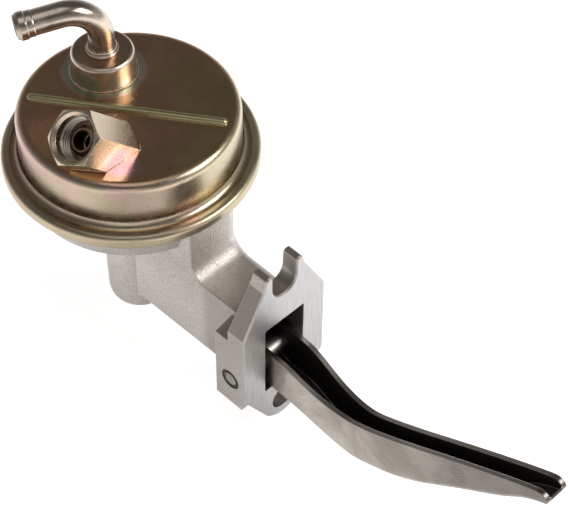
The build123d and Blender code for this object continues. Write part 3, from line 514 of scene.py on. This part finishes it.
def plated(name, halo=None, hexagon_reflection=None, roughness_shift=0.0, painted_top_shade=None, rib_foot=None, **tints):
    """A yellow-passivated finish with its own tints.

    painted_top_shade darkens what faces up as painted shade, halo (centre, inner, outer) colours it
    round brazed joints, hexagon_reflection (centre, reach) paints a pink reflection of the hexagon
    round a point, and rib_foot is the height over which a pressed rib is painted a lighter olive as
    a painted highlight.
    """
    uniform = {"Metallic": 1.0, "Coat Weight": 0.05, "Coat Roughness": 0.12}
    made, tree, shader = new_material(name, uniform)
    plating = use_group(tree, plating_group, tints)
    edges = use_group(tree, edge_group, {"Radius": 0.3 * MM})
    film = plating["Colour"]
    dull = math_node(tree, "ADD", plating["Roughness"], roughness_shift)
    if painted_top_shade:
        # Painted shade on what faces up.
        film = darkened(tree, film, remap(tree, facing_of(tree)["Z"], 0.80, 0.99), painted_top_shade)
    if halo:
        centre, inner, outer = halo
        sockets = {"Colour": film, "Centre": centre, "Inner": inner, "Outer": outer}
        film = use_group(tree, halo_group, sockets)["Colour"]
    # Painted reflection: a pink reflection of the hexagon's lower flat, painted on the cover round a
    # point beside it.
    if hexagon_reflection:
        centre, reach = hexagon_reflection
        gap = vector_node(tree, "DISTANCE", object_place(tree), centre)
        reflected_pink = remap(tree, gap, reach, 0.4 * reach, 0.0, 0.75)
        film = blend_colour(tree, reflected_pink, film, colour(0.58, 0.37, 0.37))
    # Painted highlight along the edges.
    film = tinted(tree, film, edges["Edge"], 0.5, colour(0.76, 0.68, 0.56))
    if rib_foot:
        # Painted highlight: the pressed rib is painted a lighter olive.
        height = spot_on_piece(tree)["Z"]
        painted_rib_highlight = remap(tree, height, rib_foot + 0.2 * MM, rib_foot + 0.7 * MM)
        film = blend_colour(tree, painted_rib_highlight, film, colour(0.42, 0.37, 0.20))
        dull = math_node(tree, "MULTIPLY_ADD", painted_rib_highlight, 0.08, dull)
    finish(tree, shader, film, dull, plating["Height"], strength=0.12, distance=0.06 * MM,
           normal=edges["Normal"])
    return made


cup_low, cup_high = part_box("inlet_cup")
hex_low, hex_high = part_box("outlet_fitting")
dome_top = cup_low.z
cup_foot = ((cup_low.x + cup_high.x) / 2, (cup_low.y + cup_high.y) / 2, dome_top)
beside_hexagon = (hex_high.x + 1.5 * MM, (hex_low.y + hex_high.y) / 2 + 3.5 * MM, dome_top)
# The cover carries painted shade on its flat top and a painted reflection beside the hexagon.
cover_film = plated("cover_yellow_zinc", halo=(cup_foot, 12.5 * MM, 16.5 * MM),
                    hexagon_reflection=(beside_hexagon, 8.0 * MM), painted_top_shade=colour(0.93, 0.76, 0.56),
                    rib_foot=dome_top)
dress(cover_film, "top_cover")
ring_film = plated("ring_yellow_zinc", roughness_shift=0.08,
                   Gold=colour(0.54, 0.41, 0.29), Rose=colour(0.56, 0.38, 0.31))
dress(ring_film, "crimp_ring")


# INLET CUP, BRAZE AND COLLAR
# The drawn cup stands over the inlet hole and is brazed down, which leaves a coppery bead round
# its foot; its near side is tinted in coloured rings. The stepped collar on top holds the tube
# upright.
near_side_tint = (cup_foot[0] + 4 * MM, cup_foot[1] - 12 * MM, dome_top + 2 * MM)
# The cup carries painted shade on its flat top.
cup_film = plated("cup_yellow_zinc", halo=(near_side_tint, 1 * MM, 10 * MM),
                  roughness_shift=0.06, painted_top_shade=colour(0.62, 0.46, 0.36),
                  Gold=colour(0.68, 0.60, 0.50), Rose=colour(0.66, 0.54, 0.46))
dress(cup_film, "inlet_cup")
collar_film = plated("collar_yellow_zinc",
                     Gold=colour(0.66, 0.55, 0.44), Rose=colour(0.56, 0.42, 0.34))
dress(collar_film, "elbow_collar")

copper, tree, shader = new_material("copper_braze", {"Metallic": 1.0})
skin = use_group(tree, grain_group, {"Scale": 1400.0, "Cloud Scale": 300.0})
base = clouded(tree, skin, colour(0.60, 0.36, 0.24), colour(0.78, 0.66, 0.48), 0.35, 0.65)
dull = remap(tree, skin["Grain"], 0.3, 0.7, 0.20, 0.34)
finish(tree, shader, base, dull, skin["Cloud"], strength=0.6, distance=0.15 * MM)
dress(copper, "inlet_cup_braze")


# INLET ELBOW
# The inlet is a bent steel tube with a rolled bead that keeps the hose on.
# Its plating is paler than the cover's, with soft clouds and a fine grain.
tube, tree, shader = new_material("tube_zinc", {"Metallic": 1.0})
skin = use_group(tree, grain_group, {"Scale": 2200.0, "Cloud Scale": 110.0})
edges = use_group(tree, edge_group, {"Radius": 0.3 * MM})
base = clouded(tree, skin, colour(0.47, 0.395, 0.335), colour(0.63, 0.54, 0.46), 0.35, 0.66)
base = darkened(tree, base, 0.5, remap(tree, skin["Grain"], 0.3, 0.6, 0.55, 1.0))
# Painted highlight along the edges.
base = tinted(tree, base, edges["Edge"], 0.2, colour(0.72, 0.66, 0.60))
dull = remap(tree, skin["Cloud"], 0.3, 0.7, 0.20, 0.30)
finish(tree, shader, base, dull, skin["Grain"], strength=0.25, distance=0.08 * MM,
       normal=edges["Normal"])
dress(tube, "inlet_elbow")


# OUTLET FITTING AND FLARE SEAT
# A length of hexagon bar, cut at a slant, brazed to the cover and tapped for a flare nut, with a
# browner coned seat pressed in, painted darker as painted shade deep in the bore. Its skin is
# speckled, and brazing turned the lower flat violet.
port = next(mount for mount in frame["record"]["mounts"] if mount["name"] == "outlet_port")
port_axis = Vector(port["axis"]).normalized()
port_place = Vector(port["pos_m"])

uniform = {"Metallic": 1.0, "Coat Weight": 0.12, "Coat Roughness": 0.12}
hexagon, tree, shader = new_material("hexagon_yellow_zinc", uniform)
tints = {"Gold": colour(0.62, 0.52, 0.38), "Rose": colour(0.62, 0.48, 0.36)}
plating = use_group(tree, plating_group, tints)
edges = use_group(tree, edge_group, {"Radius": 0.22 * MM})
normal = facing_of(tree)
mottle = noise(tree, object_place(tree), 1100.0, detail=4.0, roughness=0.7)
flat_normal = put(tree, "ShaderNodeNewGeometry").outputs["Normal"]
facing_out = vector_node(tree, "DOT_PRODUCT", flat_normal, tuple(port_axis))
off_mouth = remap(tree, facing_out, 0.35, 0.10, 0.10, 1.0)
speckled = product(tree, remap(tree, normal["Z"], 0.0, 0.2, 0.10, 0.65), off_mouth)
film = darkened(tree, plating["Colour"], speckled, remap(tree, mottle, 0.30, 0.62, 0.60, 1.0))

# Heat drew ragged bands across the lower flat, from cream at the mouth to violet at the cover.
BAND_LEAN = 0.9
BANDS_START, BANDS_END = -8 * MM, 18 * MM
BAND_RAGGED = 5 * MM
place = put(tree, "ShaderNodeTexCoord").outputs["Object"]
along = vector_node(tree, "DOT_PRODUCT", place, tuple(-port_axis))
depth_in = math_node(tree, "SUBTRACT", along, -port_place.dot(port_axis))
band_place = math_node(tree, "ADD", depth_in, BAND_LEAN * dome_top)
band_place = math_node(tree, "MULTIPLY_ADD", spot_on_piece(tree)["Z"], -BAND_LEAN, band_place)
wander = noise(tree, object_place(tree), 130.0, detail=1.0)
band_place = math_node(tree, "MULTIPLY_ADD", wander, BAND_RAGGED, band_place)
bands = colour_steps(tree, remap(tree, band_place, BANDS_START, BANDS_END), [
    (0.00, colour(0.29, 0.30, 0.275)), (0.28, colour(0.35, 0.365, 0.340)),
    (0.48, colour(0.55, 0.57, 0.52)), (0.68, colour(0.54, 0.44, 0.44)),
    (0.84, colour(0.46, 0.34, 0.46)), (1.00, colour(0.54, 0.42, 0.42))])
lower_flat = product(tree, remap(tree, normal["X"], 0.55, 0.75),
                     remap(tree, normal["Z"], 0.15, -0.05))
film = tinted(tree, film, lower_flat, 0.9, bands)
# Painted highlight along the edges.
film = tinted(tree, film, edges["Edge"], 0.8, colour(0.94, 0.87, 0.77))
dull = remap(tree, mottle, 0.3, 0.7, 0.22, 0.36)
finish(tree, shader, film, dull, mottle, strength=0.15, distance=0.06 * MM, normal=edges["Normal"])
dress(hexagon, "outlet_fitting")

# The seat's tints are darkened as painted shade, deep in the bore.
seat_zinc, tree, shader = new_material("seat_zinc", {"Metallic": 1.0})
tints = {"Gold": colour(0.34, 0.27, 0.20), "Rose": colour(0.30, 0.20, 0.15)}
plating = use_group(tree, plating_group, tints)
dull = math_node(tree, "ADD", plating["Roughness"], 0.06)
finish(tree, shader, plating["Colour"], dull, plating["Height"], strength=0.12, distance=0.06 * MM)
dress(seat_zinc, "flare_seat")


# OUTLET THREAD
# The tapped thread is one ridge wound round the bore, 18 turns to the inch. It is the fitting's
# own steel with a greener plating, painted paler as painted light in the shaded bore, and its root
# is sunk in the bore's wall.
PITCH = 25.4 / 18 * MM
RIDGE_ROOT_R = 8.35 * MM
RIDGE_CREST_R = 7.30 * MM
ROOT_WIDTH, CREST_WIDTH = 0.90 * PITCH, 0.14 * PITCH
THREAD_TURNS = 5
STEPS_PER_TURN = 72
FIRST_DEPTH = 0.75 * MM
bpy.ops.mesh.primitive_plane_add(size=1.0, location=(0, 0, 0), rotation=(math.pi / 2, 0, 0))
thread = bpy.context.object
thread.name = "outlet_thread"
bpy.ops.object.transform_apply(location=True, rotation=True, scale=True)
for vertex in thread.data.vertices:
    at_root = vertex.co.x > 0
    vertex.co.x = RIDGE_ROOT_R if at_root else RIDGE_CREST_R
    vertex.co.z *= ROOT_WIDTH if at_root else CREST_WIDTH
bpy.ops.object.mode_set(mode="EDIT")
bpy.ops.mesh.select_all(action="SELECT")
bpy.ops.mesh.delete(type="ONLY_FACE")
bpy.ops.object.mode_set(mode="OBJECT")
winding = thread.modifiers.new("winding", "SCREW")
winding.axis = "Z"
winding.angle = 2 * math.pi
winding.screw_offset = PITCH
winding.iterations = THREAD_TURNS
winding.steps = STEPS_PER_TURN
winding.render_steps = STEPS_PER_TURN
bpy.ops.object.modifier_apply(modifier=winding.name)

# Its two ends are closed, and it is turned into the bore.
bpy.ops.object.mode_set(mode="EDIT")
bpy.ops.mesh.select_all(action="SELECT")
bpy.ops.mesh.remove_doubles(threshold=1e-6)
bpy.ops.mesh.select_all(action="DESELECT")
bpy.ops.mesh.select_mode(type="EDGE")
bpy.ops.mesh.select_non_manifold()
bpy.ops.mesh.edge_face_add()
bpy.ops.mesh.select_all(action="SELECT")
bpy.ops.mesh.normals_make_consistent(inside=False)
bpy.ops.object.mode_set(mode="OBJECT")
turned = Vector((0, 0, 1)).rotation_difference(port_axis).to_matrix().to_4x4()
thread_foot = port_place - port_axis * (FIRST_DEPTH + THREAD_TURNS * PITCH)
thread.matrix_world = Matrix.Translation(thread_foot) @ turned
bpy.ops.object.transform_apply(location=True, rotation=True, scale=True)
bpy.ops.object.shade_smooth_by_angle(angle=math.radians(30))
# Painted light: the thread's plating is painted paler to lift it out of the bore's shade.
thread_zinc = plated("thread_zinc", roughness_shift=0.10, Gold=colour(0.66, 0.66, 0.56),
                     Rose=colour(0.60, 0.54, 0.46), Green=colour(0.58, 0.64, 0.56))
thread.data.materials.append(thread_zinc)
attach(thread, "pump_body")


# OUTLET BRAZE
# A thin bead of copper braze runs round the hexagon's foot. It follows the hexagon where the
# cover's flat top cuts it, and crosses behind along the bar's own end.
BAR_LENGTH = 23.5 * MM
BEAD_R = 0.30 * MM
CORNERS = 6
sideways = Vector((1, 0, 0))
backwards = port_axis.cross(sideways).normalized()
corner_r = (hex_high.x - hex_low.x) / math.sqrt(3)
outline = []
for corner in range(CORNERS):
    angle = math.radians(30 + 60 * corner)
    top = port_place + corner_r * (math.cos(angle) * sideways + math.sin(angle) * backwards)
    outline.append(top - port_axis * (top.z - dome_top) / port_axis.z)
depths = [(port_place - point).dot(port_axis) for point in outline]
foot = []
for corner in range(CORNERS):
    following = (corner + 1) % CORNERS
    here, there = outline[corner], outline[following]
    depth_here, depth_there = depths[corner], depths[following]
    if depth_here < BAR_LENGTH:
        foot.append(here)
    if (depth_here < BAR_LENGTH) != (depth_there < BAR_LENGTH):
        foot.append(here.lerp(there, (BAR_LENGTH - depth_here) / (depth_there - depth_here)))
bpy.ops.object.select_all(action="DESELECT")
bpy.ops.mesh.primitive_circle_add(vertices=len(foot), radius=0.01, location=(0, 0, 0))
bead = bpy.context.object
bead.name = "outlet_braze"
for vertex, point in zip(bead.data.vertices, foot):
    vertex.co = point
bpy.ops.object.convert(target="CURVE")
bead.data.bevel_depth = BEAD_R
bead.data.bevel_resolution = 3
bpy.ops.object.convert(target="MESH")
bead = bpy.context.object
bpy.ops.object.shade_smooth_by_angle(angle=math.radians(40))
bead.data.materials.clear()
bead.data.materials.append(copper)
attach(bead, "pump_body")


# STUDIO
# A white table and a dark ceiling with three soft boxes: high on the right, overhead, low in front.
# The table is white to the camera and keeps the pump's soft shadow.
TABLE_SIZE = 6.0
TABLE_GAP = 0.2 * MM
bpy.ops.mesh.primitive_plane_add(size=TABLE_SIZE, location=(0, 0, cad_box[0].z - TABLE_GAP))
table = bpy.context.object
table.name = "table"
white, tree, shader = new_material("white_table", {"Roughness": 0.9, "Specular IOR Level": 0.0})
path = put(tree, "ShaderNodeLightPath").outputs
spot = spot_on_piece(tree)

# In the metal, the table is brightest on the right, dimmest in the middle, half bright on the left.
rightward = math_node(tree, "ADD", spot["X"], spot["Y"])
glow_right = remap(tree, rightward, -0.05, 0.14, 0.36, 1.25)
glow_left = remap(tree, rightward, -0.09, -0.24, 0.0, 0.62)
glow = product(tree, math_node(tree, "ADD", glow_right, glow_left), path["Is Glossy Ray"])
shine = math_node(tree, "MULTIPLY_ADD", path["Is Camera Ray"], 0.80, glow)
paper = noise(tree, object_place(tree), 900.0, detail=3.0)
base = blend_colour(tree, paper, colour(0.80, 0.80, 0.80), colour(0.84, 0.84, 0.84))
tree.links.new(base, shader.inputs["Base Color"])
tree.links.new(shine, shader.inputs["Emission Strength"])
shader.inputs["Emission Color"].default_value = colour(1.0, 1.0, 1.0)
table.data.materials.append(white)

pump_middle = Vector((-10 * MM, 0.0, 45 * MM))


def soft_box(name, direction, distance, size, power):
    """A square lamp that faces the pump from a direction."""
    data = bpy.data.lights.new(name, "AREA")
    data.shape = "SQUARE"
    data.size = size
    data.energy = power
    lamp = bpy.data.objects.new(name, data)
    bpy.context.scene.collection.objects.link(lamp)
    towards = Vector(direction).normalized()
    lamp.location = pump_middle + towards * distance
    lamp.rotation_euler = towards.to_track_quat("Z", "Y").to_euler()


soft_box("high_right", (0.59, 0.45, 0.67), distance=0.95, size=0.42, power=5.0)
soft_box("overhead", (0.05, -0.10, 1.0), distance=1.00, size=0.55, power=0.8)
soft_box("low_front", (0.62, -0.74, 0.28), distance=1.00, size=0.60, power=0.6)

world = bpy.data.worlds.new("studio")
bpy.context.scene.world = world
world.use_nodes = True
tree = world.node_tree
tree.nodes.clear()
way = put(tree, "ShaderNodeTexCoord").outputs["Generated"]
upwards = put(tree, "ShaderNodeSeparateXYZ", {0: way}).outputs["Z"]
walls = blend_colour(tree, remap(tree, upwards, 0.10, 0.60),
                     colour(0.48, 0.48, 0.48), colour(0.13, 0.13, 0.13))
sky = put(tree, "ShaderNodeBackground", {"Color": walls, "Strength": 1.0})
put(tree, "ShaderNodeOutputWorld", {"Surface": sky.outputs[0]})

# The camera stands where the photograph was taken from, as solved from the pump's own sizes.
CAMERA_PLACE = (0.3039, -0.3096, 0.5750)
camera_data = bpy.data.cameras.new("camera")
camera_data.sensor_fit = "HORIZONTAL"
camera_data.sensor_width = 36.0
camera_data.lens = 120.03
camera_data.clip_start = 0.01
camera = bpy.data.objects.new("camera", camera_data)
bpy.context.scene.collection.objects.link(camera)
right = Vector((0.7054, 0.7087, 0.0094)).normalized()
ahead = Vector((-0.4629, 0.4707, -0.7511)).normalized()
up = right.cross(ahead).normalized()
aim = Matrix((right, up, -ahead)).transposed().to_4x4()
camera.matrix_world = Matrix.Translation(CAMERA_PLACE) @ aim
bpy.context.scene.camera = camera
bpy.context.scene.view_settings.view_transform = "Standard"
